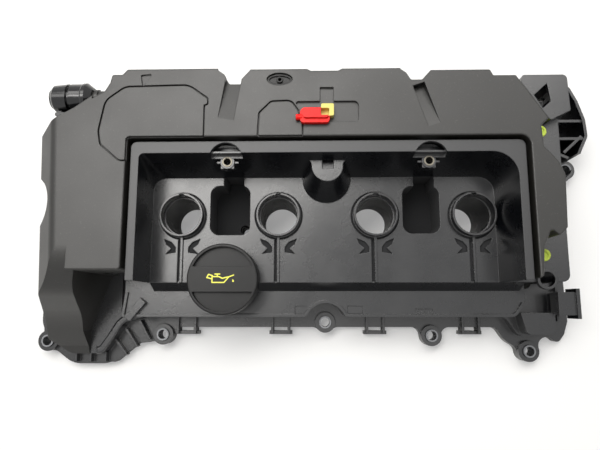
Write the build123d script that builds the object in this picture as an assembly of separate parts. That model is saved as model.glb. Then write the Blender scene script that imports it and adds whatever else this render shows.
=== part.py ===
"""Moulded valve cover for a four-cylinder engine.

The cover is a thin-walled plastic moulding.  Its flat foot seals on the cylinder head with a
rubber gasket and is clamped through steel sleeves.  Four stepped wells run down to the spark
plugs from the floor of a deep valley.  A separate smooth shroud closes the oil separator
chamber on the deck around three sides of the valley.  An oil filler neck with a quarter-turn
cap stands at the front of the valley floor.

Frame: +X runs along the row of plug wells, +Y to the back, +Z up.  The origin is the middle
of the well row on the sealing plane of the foot.  All sizes are millimetres.
"""

import os
from functools import cache
from math import atan2, degrees, dist

from build123d import *

# Wells and valley
WELL_COUNT = 4
WELL_PITCH = 84.0
WELL_R = 16.2
WELL_MOUTH_R = 17.2
WELL_MOUTH_DEPTH = 12.0
WELL_WALL = 2.6
WELL_TOP = 66.0
FLOOR_TOP = 58.0
VALLEY_LEFT = -153.0
VALLEY_RIGHT_FLOOR = 146.0
VALLEY_RIGHT_RIM = 151.5
VALLEY_FRONT = -58.0
VALLEY_BACK_FLOOR = 34.0
VALLEY_BACK_RIM = 44.5

# Shell walls and levels
WALL = 3.0
FOOT_WIDTH = 5.5
FOOT_HEIGHT = 7.0
TRAY_TOP = 20.0
LEDGE_TOP = 44.0
DECK_TOP = 66.0
RIM_TOP = 101.0
RIM_THICK = 3.5
RIM_OUT_LEFT = -159.5
RIM_OUT_RIGHT = 158.0
RIM_OUT_BACK = 54.0
SHROUD_TOP = 106.0
SHROUD_WALL = 3.0
GROOVE = 2.4

# Flange and sleeves
FLANGE_WIDTH = 10.0
FLANGE_TOP = 9.0
LUG_R = 9.5
LUG_TOP = 13.5
SLEEVE_R = 5.6
SLEEVE_BORE_R = 4.2
SLEEVE_TOP = 15.5
SLEEVE_FIT = 0.05
ACCESS_R = 9.0
SLEEVES = [
    (-260.0, -110.0), (-152.0, -104.0), (-1.0, -93.0), (97.0, -105.0), (185.0, -119.0),
    (230.0, 51.0), (143.0, 111.5), (72.0, 111.0), (-76.0, 111.0), (-190.0, 111.0),
]
ARCH_SLEEVE = SLEEVES[2]
BAY_SLEEVE = SLEEVES[5]
BACK_SLEEVES = SLEEVES[6:]
LUG_BLEND = 8.0
ARCH_R = 17.5
ARCH_BLEND = 6.0

# Front clips, each given by its two ribs
CLIPS = ((-138.7, -122.4), (-50.1, -34.8), (37.9, 53.1), (126.3, 141.1))
CLIP_FRONT = -104.0
CLIP_BAR = 3.2
RIB = 2.2

# Seals
GASKET_WIDTH = 2.6
GASKET_DEPTH = 3.6
GASKET_GAP = 0.15
PLUG_SEAL_WIDTH = 3.0
PLUG_SEAL_DEPTH = 5.0

# Oil filler
NECK_X = -87.0
NECK_Y = -56.0
NECK_R = 24.5
NECK_THROAT_R = 19.0
NECK_CHAMBER_R = 22.0
NECK_TOP = 68.0
NECK_THROAT_LENGTH = 7.0
CAP_R = 29.5
CAP_TOP = 78.0
CAP_BAR_WIDTH = 21.0
CAP_DISH_DEPTH = 4.0
CAP_RIM = 2.6
CAP_WALL = 2.6
CAP_BARREL_GAP = 0.5
LUG_WIDTH = 11.0
SEAL_THICK = 2.2
RUNNING_GAP = 0.3

# Crankcase valve under the corner panel
VALVE_X = -141.0
VALVE_Y = 78.0
NOZZLE_R = 6.0
NOZZLE_BORE_R = 4.2
NOZZLE_TOP = 82.0
VALVE_TRAVEL = 3.0
PLATE_R = 10.5
PLATE_THICK = 2.0
VALVE_RING_R = 17.5
VALVE_RING_WALL = 2.2
MEMBRANE_THICK = 1.2
SPRING_R = 8.0
SPRING_WIRE_R = 0.6
SPRING_TURNS = 4

# Breather connector
BREATHER_Y = 97.5
BREATHER_Z = 85.0
STUB_R = 6.5
STUB_BORE_R = 4.3
STUB_END = -216.0
STUB_ROOT = -172.0
RING_X = -211.0
RING_GROOVE = 2.8
CONNECTOR_R = 12.5
CONNECTOR_NOSE = -198.5
CONNECTOR_END = -233.0
CONNECTOR_GAP = 0.3
SOCKET_DEPTH = 2.8
LATCH_GAP = 0.8
LATCH_THICK = 3.6

# Small pieces on the shroud
PANEL_THICK = 2.4
PANEL_SEAM = 0.9
PANEL_EDGE = 0.8
PANEL_LAND = 3.5
VENT_X = -38.8
VENT_Y = 104.6
VENT_RX = 10.5
VENT_RY = 5.4
VENT_DEPTH = 4.0
VENT_HOLE_R = 3.4
COLLAR_AT = (-0.2, 76.8)
COLLAR_SIZE = 10.2
COLLAR_WALL = 3.8
COLLAR_TOP = 110.0
BADGE_DEPTH = 2.2
CLIP_TOP = 112.5
PIECE_GAP = 0.3

# Shroud edges and ramps; a ramp has its front point, turn, width and the notch it runs to
BACK_EDGES = (114.5, 113.5, 111.5)
BACK_DIP = (-16.5, 12.0, 1.7)
RAMPS = (((-82.2, 70.9), -9.7, 13.0, -76.0), ((84.9, 65.3), 18.3, 10.0, 72.0))
RAMP_LENGTH = 36.0
RAMP_DEPTH = 6.5

# Left end of the shroud
SIDE_RUN = 22.0
SIDE_RISE = 66.0
SIDE_TURN = 3.0
SIDE_PIVOT_Y = -30.0
SCOOP_R = 30.0
SCOOP_Y = 6.0
SCOOP_DEPTH = 5.0

# End plate
PLUG_PLACES = {"rear_end_plug": (184.5, 71.0), "front_end_plug": (180.5, -36.0)}
END_PLUG_R = 5.2
END_PLUG_STEM_R = 3.6
END_HOLE = (182.0, -56.0)
END_HOLE_R = 6.2
END_HOLE_BOSS_R = 8.4

# Tabs under the valley rim
TAB_PLACES = (-82.5, 83.0)
TAB_Y = 39.5
TAB_TOP = 90.0
TAB_THICK = 5.0
TAB_WIDTH = 11.0
TAB_PAD_R = 15.0
TAB_ARCH_R = 13.5
INSERT_R = 4.2
INSERT_BORE_R = 3.0
INSERT_LENGTH = 9.0

# Tongue in the middle of the valley's back wall
TONGUE_TOP = 88.0
TONGUE_FOOT_R = 21.0
TONGUE_TOP_R = 12.8
TONGUE_FOOT_Y = 32.0
TONGUE_TOP_Y = 36.5
TONGUE_BLEND = 7.0
TONGUE_SLOT = (-4.3, 34.2, 5.3, 46.0)
TONGUE_SLOT_DEPTH = 6.0

# Pockets between the wells, each left, front, right and back
POCKETS = ((-102.0, -17.0, -67.0, 27.0), (66.0, -16.0, 98.0, 26.0))
POCKET_FLOOR = 24.0
POCKET_CORNER = 8.0
POCKET_HOLE = (-75.0, -8.0)
POCKET_RING_R = 6.4

# Right end: bay, bracket box and corner step
CORNER_STEP_TOP = 36.0
BAY_TOP = 40.0
BAY_WALL = 2.6
BAY_RIBS = (
    ((200.0, 91.5), (240.0, 91.5)), ((200.0, 74.6), (240.0, 74.6)),
    ((206.0, 63.4), (229.0, 53.3)), ((218.8, 61.3), (236.0, 77.0)),
)
BRACKET_TOP = 80.0

# Plan of the foot
FRONT_Y = -87.5
BACK_Y = 99.0
RIGHT_X = 202.0
LEFT_X = -259.0
END_PLAN_RIGHT = -192.0
ARM_FRONT = -50.0
LEDGE_LEFT = -179.0
LEDGE_SLANT_LEFT = -190.0
LEDGE_RIGHT = 172.0
TRAY_LIP_WIDTH = 6.5
TRAY_LIP_RISE = 5.0
TRAY_LIP_ROUND = 2.0

# Separator baffle
BAFFLE_TOP = 52.0
BAFFLE_THICK = 2.5
BAFFLE_BOX = (-116.0, 62.0, 150.0, 92.0)
BAFFLE_SLOTS = 8
PEG_COUNT = 4
PEG_R = 2.2
PEG_SHOULDER_R = 4.0
PEG_HEAD_R = 3.4
PEG_HEAD = 1.6

WELL_XS = [WELL_PITCH * (i - (WELL_COUNT - 1) / 2) for i in range(WELL_COUNT)]
WELL_OUT_R = WELL_R + WELL_WALL
UP = (0, 0, 1)


def flat(points):
    """A closed flat outline; a point may carry a corner radius as its third value."""
    face = make_face(Polyline(*[(p[0], p[1]) for p in points], close=True))
    for point in points:
        if len(point) > 2:
            corner = face.vertices().sort_by_distance((point[0], point[1], 0))[0]
            face = fillet(corner, point[2])
    return face


def layer(face, low, high):
    """A prism on a flat outline between two levels."""
    return Pos(0, 0, low) * extrude(face, high - low, dir=UP)


def block(x0, y0, z0, x1, y1, z1):
    """A box given by its two far corners."""
    return Pos((x0 + x1) / 2, (y0 + y1) / 2, (z0 + z1) / 2) * Box(x1 - x0, y1 - y0, z1 - z0)


def post(x, y, radius, low, high):
    """An upright cylinder between two levels."""
    return Pos(x, y, (low + high) / 2) * Cylinder(radius, high - low)


def tube(x, y, outer, inner, low, high):
    """An upright tube between two levels."""
    return post(x, y, outer, low, high) - post(x, y, inner, low - 1, high + 1)


def disc(x, y, radius):
    """A flat disc in an outline."""
    return Pos(x, y) * Circle(radius)


def rect(x0, y0, x1, y1):
    """A flat rectangle in an outline."""
    return Pos((x0 + x1) / 2, (y0 + y1) / 2) * Rectangle(x1 - x0, y1 - y0)


def grown(face, amount):
    """The outline moved outwards by an amount, or inwards if it is negative."""
    if amount == 0:
        return face
    return offset(face, amount, kind=Kind.ARC if amount > 0 else Kind.INTERSECTION)


def blended(face, radius):
    """The outline with its hollow corners filled to a radius."""
    return offset(grown(face, radius), -radius, kind=Kind.ARC)


def strip(start, end, width):
    """A flat strip between two points."""
    (x0, y0), (x1, y1) = start, end
    turn = degrees(atan2(y1 - y0, x1 - x0))
    return Pos((x0 + x1) / 2, (y0 + y1) / 2) * Rot(0, 0, turn) * Rectangle(dist(start, end), width)


# Outlines of the lower moulding

@cache
def foot_outline():
    """The outer face of the wall where it stands on the flange."""
    return flat([
        (LEFT_X, -92, 12), (-250, -109, 12), (-234, -121, 12), (-204, -121, 8), (-195, -108, 8),
        (-186, -93, 12), (-166, FRONT_Y, 12), (163, FRONT_Y, 10), (174, -105, 10),
        (RIGHT_X, -105, 8), (RIGHT_X, BACK_Y, 8), (-232, BACK_Y, 16), (LEFT_X, 72, 12),
    ])


@cache
def ledge_outline():
    """The step in front of the valley, with the arch round the middle front sleeve."""
    step = flat([
        (LEDGE_LEFT + 3, ARM_FRONT), (LEDGE_LEFT - 2, -88.5, 3), (-166, FRONT_Y, 8),
        (163, FRONT_Y, 8), (LEDGE_RIGHT, -75, 6), (LEDGE_RIGHT, ARM_FRONT),
    ])
    return step + arms_outline() - arch()


@cache
def arch():
    """The bay in the front wall round the middle front sleeve, flared into the wall."""
    front = rect(-90, FRONT_Y - 40, 90, FRONT_Y)
    return blended(disc(*ARCH_SLEEVE, ARCH_R) + front, ARCH_BLEND)


@cache
def arms_outline():
    """The raised deck round three sides of the valley, and the valley itself."""
    return flat([
        (-231, ARM_FRONT + 4), (END_PLAN_RIGHT + PIECE_GAP, ARM_FRONT + 4),
        (END_PLAN_RIGHT + PIECE_GAP, ARM_FRONT), (VALLEY_LEFT - WALL, ARM_FRONT),
        (VALLEY_LEFT - WALL, VALLEY_FRONT),
        (RIGHT_X, VALLEY_FRONT, 6), (RIGHT_X, BACK_Y, 8), (-186, BACK_Y, 5),
        (END_PLAN_RIGHT + PIECE_GAP, 92), (END_PLAN_RIGHT + PIECE_GAP, 85), (-213, 71, 6),
        (-231, 60, 8),
    ])


@cache
def deck_outline():
    """The deck without the valley floor."""
    return arms_outline() - valley_plan(VALLEY_RIGHT_FLOOR, VALLEY_BACK_FLOOR, 12, 14)


def pocket_outline(left, front, right, back):
    """A coil bracket pocket between two wells, with its neck to the back wall."""
    middle = (left + right) / 2
    pocket = Pos(middle, (front + back) / 2) * Rectangle(right - left, back - front)
    pocket = fillet(pocket.vertices(), POCKET_CORNER)
    return pocket + rect(middle - 6, back - 8, middle + 12, VALLEY_BACK_FLOOR + 2)


def valley_plan(right, back, left_corner, right_corner, grow=0):
    """The valley's outline at one level, open to the front."""
    front = VALLEY_FRONT - 40
    return flat([
        (VALLEY_LEFT - grow, front), (right + grow, front),
        (right + grow, back + grow, right_corner + grow),
        (VALLEY_LEFT - grow, back + grow, left_corner + grow),
    ])


@cache
def valley_form(grow):
    """The space of the valley, tapering down to its floor."""
    low = valley_plan(VALLEY_RIGHT_FLOOR, VALLEY_BACK_FLOOR, 12, 14, grow)
    high = valley_plan(VALLEY_RIGHT_RIM, VALLEY_BACK_RIM, 4, 20, grow)
    return loft([Pos(0, 0, FLOOR_TOP) * low, Pos(0, 0, RIM_TOP) * high], ruled=True)


def valley_rim():
    """The tapering wall of the valley and the flat band along its top."""
    wall = valley_form(WALL) - layer(rect(-300, -120, 300, VALLEY_FRONT), 0, 200)
    band = rect(RIM_OUT_LEFT, VALLEY_FRONT, RIM_OUT_RIGHT, RIM_OUT_BACK)
    wall += layer(fillet(band.vertices().group_by(Axis.Y)[-1], 5), RIM_TOP - RIM_THICK, RIM_TOP)
    wall -= valley_form(0)
    return wall


def tongue(inset):
    """The buttress in the middle of the back wall that carries the tongue."""
    low = Pos(0, TONGUE_FOOT_Y, FLOOR_TOP - inset) * Circle(TONGUE_FOOT_R - inset)
    high = Pos(0, TONGUE_TOP_Y, TONGUE_TOP - inset) * Circle(TONGUE_TOP_R - inset)
    return loft([low, high]) - block(-60, VALLEY_BACK_RIM + 1, 0, 60, 120, 200)


def tongue_pad():
    """The flat top of the tongue, flared into the back wall."""
    wall = rect(-40, VALLEY_BACK_RIM - 1, 40, VALLEY_BACK_RIM + 1)
    pad = blended(disc(0, TONGUE_TOP_Y, TONGUE_TOP_R) + wall, TONGUE_BLEND)
    pad = pad & rect(-24, 0, 24, VALLEY_BACK_RIM)
    return layer(pad, TONGUE_TOP - WALL, TONGUE_TOP)


def tabs():
    """The notched tabs under the rim that carry the threaded inserts."""
    gusset = Plane.YZ * flat([(TAB_Y - 5, TAB_TOP - 2), (VALLEY_BACK_RIM, TAB_TOP - 2),
                              (VALLEY_BACK_RIM - 5, TAB_TOP - 24)])
    result = []
    for x in TAB_PLACES:
        result.append(block(x - TAB_WIDTH / 2, TAB_Y - 5.5, TAB_TOP - TAB_THICK,
                            x + TAB_WIDTH / 2, VALLEY_BACK_RIM + 2, TAB_TOP))
        result.append(post(x, TAB_Y, INSERT_R + 1.6, TAB_TOP - INSERT_LENGTH, TAB_TOP + 1))
        result.append(block(x - 9, TAB_Y - 0.8, TAB_TOP - 3, x + 9, TAB_Y + 0.8, TAB_TOP - 1))
        for side in (-1, 1):
            result.append(Pos(x + side * 4.7 - 0.8, 0, 0) * extrude(gusset, 1.6, dir=(1, 0, 0)))
        pad = disc(x, TAB_Y, TAB_PAD_R) & rect(x - 20, VALLEY_BACK_RIM - 2, x + 20, RIM_OUT_BACK)
        result.append(layer(pad, TAB_TOP - WALL, TAB_TOP))
    return result


def tab_cuts():
    """The arches in the rim over the tabs, and the holes for the inserts."""
    result = []
    for x in TAB_PLACES:
        arch_low = RIM_TOP - RIM_THICK
        arch_form = post(x, TAB_Y, TAB_ARCH_R, arch_low - 6, RIM_TOP + 1)
        result.append(arch_form - block(x - 20, TAB_Y + 5.5, 0, x + 20, 80, arch_low))
        result.append(post(x, TAB_Y, INSERT_R, TAB_TOP - INSERT_LENGTH - 5, TAB_TOP + 2))
    return result


# Lower moulding

def outer_body():
    """The lower moulding before it is hollowed."""
    slope = Plane.YZ * flat([(VALLEY_FRONT, LEDGE_TOP - 4), (VALLEY_FRONT, FLOOR_TOP),
                             (VALLEY_FRONT - 7, LEDGE_TOP), (VALLEY_FRONT - 7, LEDGE_TOP - 4)])
    slope_length = LEDGE_RIGHT - 4 - VALLEY_LEFT
    return layer(foot_outline() - arch(), 0, TRAY_TOP) + [
        layer(ledge_outline() - recess_outline(), 0, LEDGE_TOP),
        ledge_slant(0),
        layer(arms_outline(), 0, FLOOR_TOP),
        layer(deck_outline(), 0, DECK_TOP) - valley_form(0),
        layer(corner_step_outline(), 0, CORNER_STEP_TOP),
        layer(bracket_outline(), BAY_TOP - 12, BRACKET_TOP),
        Pos(VALLEY_LEFT, 0, 0) * extrude(slope, slope_length, dir=(1, 0, 0)),
        *flange(),
        *(well(x) for x in WELL_XS),
    ]


def ledge_slant(inset):
    """The slanted face from the left end of the ledge down to the tray."""
    low = TRAY_TOP - 1 - inset
    high = LEDGE_TOP - inset
    right = LEDGE_LEFT + 6 + inset
    back = ARM_FRONT + 2 * inset
    profile = Plane.XZ * flat([(LEDGE_SLANT_LEFT + inset, low), (LEDGE_LEFT + inset, high),
                               (right, high), (right, low)])
    face = Pos(0, back, 0) * extrude(profile, back - FRONT_Y, dir=(0, -1, 0))
    return face & layer(grown(foot_outline(), -inset), 0, 200)


def inner_hollow():
    """The hollow under the lower moulding, one wall inside each level."""
    arch_wall = grown(arch(), WALL)
    sole = grown(foot_outline(), -FOOT_WIDTH) - arch_wall
    tray = grown(foot_outline(), -WALL) - arch_wall
    ledge = grown(ledge_outline() - recess_outline(), -WALL)
    bracket = grown(bracket_outline(), -WALL)
    hollow = layer(sole, -1, FOOT_HEIGHT) + [
        layer(tray, FOOT_HEIGHT, TRAY_TOP - WALL),
        layer(ledge, TRAY_TOP - WALL - 1, LEDGE_TOP - WALL),
        ledge_slant(WALL),
        layer(grown(arms_outline(), -WALL), LEDGE_TOP - WALL - 1, FLOOR_TOP - WALL),
        layer(grown(deck_outline(), -WALL), FLOOR_TOP - WALL - 1, DECK_TOP - WALL)
        - valley_form(WALL),
        layer(grown(corner_step_outline(), -WALL), TRAY_TOP - WALL - 1, CORNER_STEP_TOP - WALL),
        layer(bracket & rect(160, 60, 210, BACK_Y - WALL), DECK_TOP, BRACKET_TOP - WALL),
        layer(bracket & rect(160, BACK_Y, 210, 130), 0, BRACKET_TOP - WALL),
    ]
    pockets = [grown(pocket_outline(*values), WALL) for values in POCKETS]
    return hollow - [
        *(well(x) for x in WELL_XS),
        *(layer(pocket, POCKET_FLOOR - WALL, FLOOR_TOP) for pocket in pockets),
        post(*POCKET_HOLE, SLEEVE_R + 2.5, 0, POCKET_FLOOR),
        post(NECK_X, NECK_Y, NECK_R, LEDGE_TOP - 8, FLOOR_TOP),
        post(*END_HOLE, END_HOLE_BOSS_R, 0, DECK_TOP),
    ]


def recess_outline():
    """The open recess behind the front right corner."""
    return rect(176, -83, RIGHT_X + 5, -66)


def corner_step_outline():
    """The raised step at the front right corner."""
    return flat([(171, -84), (176, -103, 5), (RIGHT_X - 1, -103, 6), (RIGHT_X - 1, -84)])


@cache
def flange():
    """The bolting flange with its lugs, widened by the end rails and the bay on the right."""
    plate = grown(foot_outline(), FLANGE_WIDTH)
    plate += flat([(RIGHT_X, -100), (213, -113, 4), (220, -104, 6), (224, -92, 6), (222, -40, 10),
                   (218, -10, 10), (222, 30, 10), (RIGHT_X, 60)])
    plate += flat([(-204, -128), (-197, -130, 3), (-176, -112.5, 4), (-160, -111, 6), (-160, -90)])
    plate += [disc(x, y, LUG_R) for x, y in SLEEVES]
    plate = blended(plate, LUG_BLEND) + bay_outline()
    return [layer(plate, 0, FLANGE_TOP), *(post(x, y, LUG_R, 0, LUG_TOP) for x, y in SLEEVES)]


@cache
def bay_outline():
    """The ribbed bay at the back right corner."""
    return flat([(RIGHT_X - 2, 33.5), (218, 33.5, 3), (224.5, 40, 6), (230, 54, 8), (240.5, 76, 10),
                 (239.5, 92, 12), (234, 110, 12), (227, 124.5, 4), (RIGHT_X - 2, 124.5)])


def bracket_outline():
    """The tall box beside the slanted corner of the shroud."""
    return flat([(189, 77.5, 2), (166.5, 112, 2), (168, 118, 2), (205.5, 118, 4), (206.5, 86, 2)])


def bay():
    """The curved rim of the bay and its ribs, clear of the bolt."""
    room = disc(*BAY_SLEEVE, LUG_R - 0.5)
    ring = bay_outline() - grown(bay_outline(), -BAY_WALL) - rect(0, 0, RIGHT_X, 200)
    ribs = []
    for start, end in BAY_RIBS:
        line = bay_outline() & strip(start, end, BAY_WALL) & rect(RIGHT_X - 1, 0, 260, 200)
        ribs.append(layer(line - room, FLANGE_TOP - 1, BAY_TOP - 2))
    return [layer(ring - room, FLANGE_TOP - 1, BAY_TOP), *ribs]


def flange_details():
    """Ribs between wall and flange, the end rail, and the clip frames along the front."""
    half = RIB / 2
    ribs = [block(x - half, -129, FLANGE_TOP - 1, x + half, -120, 16) for x in (-232, -218.5, -204.5)]
    for x, y, turn in ((-191, -115, 38), (-181, -107, 34), (-169, -100, 30)):
        ribs.append(Pos(x, y, 12) * Rot(0, 0, turn) * Box(RIB, 20, 8))
    for left, right in CLIPS:
        ribs.append(block(left - 3, CLIP_FRONT, 0, right + 3, CLIP_FRONT + CLIP_BAR, FLANGE_TOP))
        for x in (left, right):
            ribs.append(block(x - half, CLIP_FRONT + 0.5, 0, x + half, FRONT_Y + 1, LUG_TOP))
    ribs.append(block(212, -92, FLANGE_TOP - 1, 214.5, 30, 15))
    for y in (-66, -52, -36, -12, 12):
        ribs.append(block(RIGHT_X - 1, y - 1, FLANGE_TOP - 1, 213, y + 1, 14))
    ribs.append(block(RIGHT_X - 1, -86, 28, 216, -66, LEDGE_TOP))
    ribs.append(block(216, -89, 26, 219, -63, LEDGE_TOP + 2))
    return ribs


def floor_details():
    """The ribs on the valley floor, the slanted tab and the bead along the ledge."""
    ribs = [
        block(x - 1.1, VALLEY_FRONT, FLOOR_TOP - 1, x + 1.1, -WELL_OUT_R + 1, FLOOR_TOP + 1.6)
        for x in WELL_XS
    ]
    bead = ledge_outline() - grown(ledge_outline(), -2.6)
    bead = bead & rect(LEDGE_LEFT - 3, -100, LEDGE_RIGHT - 3, -66)
    tab = Pos(-168, -81, LEDGE_TOP + 2) * Rot(0, 0, -40) * Box(6.5, 21, 6)
    return [*ribs, layer(bead, LEDGE_TOP - 1, LEDGE_TOP + 2), tab]


def floor_cuts():
    """The grooves, arrow marks and shallow pads in the valley floor and the ledge."""
    cuts = []
    for x in WELL_XS:
        cuts.append(block(x - 3.6, VALLEY_FRONT - 0.1, FLOOR_TOP - 2,
                          x - 1.4, -WELL_OUT_R - 2, FLOOR_TOP + 1))
        for side in (-1, 1):
            arrow = flat([(side * 5.5, -27.5), (side * 9, -23), (side * 16, -20), (side * 14, -25),
                          (side * 9.5, -28.5), (side * 14.5, -33.5), (side * 5.5, -32)])
            cuts.append(Pos(x, 0, 0) * layer(arrow, FLOOR_TOP - 2, FLOOR_TOP + 1))
        cuts.append(tube(x, 0, WELL_OUT_R + 2.2, WELL_OUT_R + 0.6, FLOOR_TOP - 1.4, FLOOR_TOP + 1))
    for x0, y0, x1, y1 in ((-28, -87, -18, -78), (18, -87, 31, -78), (77, -83, 92, -80.5)):
        cuts.append(block(x0, y0, LEDGE_TOP - 1.0, x1, y1, LEDGE_TOP + 1))
    return cuts


def well(x):
    """One plug well before it is bored, with its wider foot for the lower seal."""
    foot_r = WELL_OUT_R + PLUG_SEAL_WIDTH + 1.5
    return post(x, 0, WELL_OUT_R, 0, WELL_TOP) + post(x, 0, foot_r, 0, PLUG_SEAL_DEPTH + 4)


def well_cuts(x):
    """The stepped bore of a well and the recess under it for the seal."""
    return [
        post(x, 0, WELL_R, -1, WELL_TOP + 1),
        post(x, 0, WELL_MOUTH_R, WELL_TOP - WELL_MOUTH_DEPTH, WELL_TOP + 1),
        tube(x, 0, WELL_OUT_R + PLUG_SEAL_WIDTH, WELL_OUT_R, -1, PLUG_SEAL_DEPTH),
        block(x - 2, WELL_MOUTH_R - 1.2, WELL_TOP - 7, x + 2, WELL_MOUTH_R + 1.0, WELL_TOP + 1),
    ]


def gasket_groove(clearance):
    """The ring that the perimeter gasket fills, in the sole of the foot."""
    middle = (FOOT_WIDTH - GASKET_WIDTH) / 2
    return (grown(foot_outline(), -middle + clearance)
            - grown(foot_outline(), -middle - GASKET_WIDTH - clearance))


def neck_cuts():
    """The throat of the filler neck, the wider chamber under it and the notches for the lugs."""
    chamber_top = NECK_TOP - NECK_THROAT_LENGTH
    half = LUG_WIDTH / 2 + 1
    slot = rect(NECK_X - half, NECK_Y - NECK_R, NECK_X + half, NECK_Y + NECK_R)
    return [
        post(NECK_X, NECK_Y, NECK_THROAT_R, 0, NECK_TOP + 1),
        post(NECK_X, NECK_Y, NECK_CHAMBER_R, LEDGE_TOP - 9, chamber_top),
        layer(slot & disc(NECK_X, NECK_Y, NECK_CHAMBER_R), chamber_top - 1, NECK_TOP + 1),
    ]


def pegs():
    """The moulded pegs under the deck that carry the baffle, staked over below it."""
    low = BAFFLE_TOP - BAFFLE_THICK
    result = []
    for x, y in peg_places():
        result.append(post(x, y, PEG_SHOULDER_R, BAFFLE_TOP, DECK_TOP - 1))
        result.append(post(x, y, PEG_R, low - PEG_HEAD, BAFFLE_TOP + 1))
        result.append(post(x, y, PEG_HEAD_R, low - PEG_HEAD, low))
    return result


def cover_body():
    """The lower moulding: one thin-walled piece."""
    slot_left, slot_front, slot_right, slot_back = TONGUE_SLOT
    body = outer_body() - inner_hollow()
    body += [
        valley_rim(), tongue(0), tongue_pad(), tray_lip(),
        *tabs(), *bay(), *flange_details(), *floor_details(),
        post(NECK_X, NECK_Y, NECK_R, LEDGE_TOP - 8, NECK_TOP),
        tube(*END_HOLE, END_HOLE_BOSS_R, END_HOLE_R, DECK_TOP - 2, DECK_TOP + 3),
        layer(deck_lip(), DECK_TOP - WALL, DECK_TOP),
        *valve_seat(), *pegs(),
    ]
    cuts = [
        tongue_core(), *tab_cuts(), *floor_cuts(), *neck_cuts(),
        block(slot_left, slot_front, TONGUE_TOP - TONGUE_SLOT_DEPTH, slot_right, slot_back,
              TONGUE_TOP + 1),
        *(layer(pocket_outline(*box), POCKET_FLOOR, FLOOR_TOP + 1) - pocket_ring()
          for box in POCKETS),
        post(*POCKET_HOLE, SLEEVE_BORE_R, -1, POCKET_FLOOR + 5),
        post(*END_HOLE, END_HOLE_R, -1, DECK_TOP + 5),
        *(post(x, y, SLEEVE_R + SLEEVE_FIT, -1, SLEEVE_TOP + 1) for x, y in SLEEVES),
        layer(gasket_groove(GASKET_GAP), -1, GASKET_DEPTH + GASKET_GAP),
        post(VALVE_X, VALVE_Y, NOZZLE_BORE_R, DECK_TOP - WALL - 1, NOZZLE_TOP + 1),
        layer(flat([(176.6, 99.8), (188.3, 110.4), (190.5, 94.3), (183.4, 88.1)]),
              DECK_TOP, BRACKET_TOP + 1),
    ]
    for x in WELL_XS:
        cuts += well_cuts(x)
    for x, y in PLUG_PLACES.values():
        cuts.append(post(x, y, END_PLUG_STEM_R + SLEEVE_FIT, DECK_TOP - WALL - 1, DECK_TOP + 1))
    return body - cuts


def tray_lip():
    """The thick rounded edge of the low tray at the front left corner."""
    ring = foot_outline() - grown(foot_outline(), -TRAY_LIP_WIDTH)
    lip = layer(ring & rect(-210, -130, -150, FRONT_Y + 5), TRAY_TOP - 1, TRAY_TOP + TRAY_LIP_RISE)
    return fillet(lip.edges().group_by(Axis.Z)[-1], TRAY_LIP_ROUND)


def pocket_ring():
    """The raised ring round the screw hole beside the first pocket."""
    return post(*POCKET_HOLE, POCKET_RING_R, 0, POCKET_FLOOR + 3)


def tongue_core():
    """The hollow inside the buttress, open below."""
    top = TONGUE_TOP - TONGUE_SLOT_DEPTH - WALL
    return tongue(WALL) & block(-60, -60, FLOOR_TOP - WALL - 1, 60, VALLEY_BACK_RIM - WALL, top)


def deck_lip():
    """The seat of the shroud: a lip of the deck under the shroud's outer edge."""
    lip = main_outline() - grown(end_plan(), PIECE_GAP)
    lip -= rect(RIM_OUT_LEFT, -90, RIM_OUT_RIGHT, RIM_OUT_BACK)
    return lip - [disc(x, y, ACCESS_R) for x, y in BACK_SLEEVES]


def valve_seat():
    """The nozzle and the ring wall of the crankcase valve, standing on the deck."""
    inner = VALVE_RING_R - VALVE_RING_WALL
    ring_top = NOZZLE_TOP + VALVE_TRAVEL + 1 + PLATE_THICK
    return [
        post(VALVE_X, VALVE_Y, NOZZLE_R, DECK_TOP - 1, NOZZLE_TOP),
        tube(VALVE_X, VALVE_Y, VALVE_RING_R, inner, DECK_TOP - 1, ring_top),
    ]


def peg_places():
    """Where the moulded pegs hold the baffle."""
    x0, y0, x1, y1 = BAFFLE_BOX
    step = (x1 - x0 - 24) / (PEG_COUNT - 1)
    return [(x0 + 12 + step * i, (y0 + y1) / 2) for i in range(PEG_COUNT)]


# Upper shroud

@cache
def main_outline():
    """The plan of the shroud's back and right arms and the inner end of its left arm."""
    inner_left = RIM_OUT_LEFT - GROOVE
    inner_back = RIM_OUT_BACK + GROOVE
    inner_right = RIM_OUT_RIGHT + GROOVE
    left_edge, middle_edge, right_edge = BACK_EDGES
    dip_left, dip_right, dip_depth = BACK_DIP
    left_notch, right_notch = (notch_x for *_, notch_x in RAMPS)
    return flat([
        (-206, ARM_FRONT), (inner_left, ARM_FRONT, 3), (inner_left, inner_back, 4),
        (inner_right, inner_back, 8), (inner_right, VALLEY_FRONT + 1), (163.5, -54.6, 1.5),
        (165.1, -33.3, 3), (171.5, -19, 2), (177.8, -24.5, 2), (184, -18, 3), (185.5, 24, 6),
        (181, 35, 4), (170.5, 47, 4), (169.5, 64, 3), (176, 70, 1.5), (152, 106.5, 2),
        (134, 106.5, 1), (131.5, right_edge, 2), (right_notch, right_edge),
        (right_notch, middle_edge), (dip_right, middle_edge, 3),
        (dip_right - 3, middle_edge - dip_depth, 3), (dip_left + 3, middle_edge - dip_depth, 3),
        (dip_left, middle_edge, 3), (left_notch, middle_edge), (left_notch, left_edge),
        (-164, left_edge, 2), (-168, 110, 1), (-176.5, 110, 2), (-178, 103, 2), (-182, 96, 3),
        (-206, 82),
    ])


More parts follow.
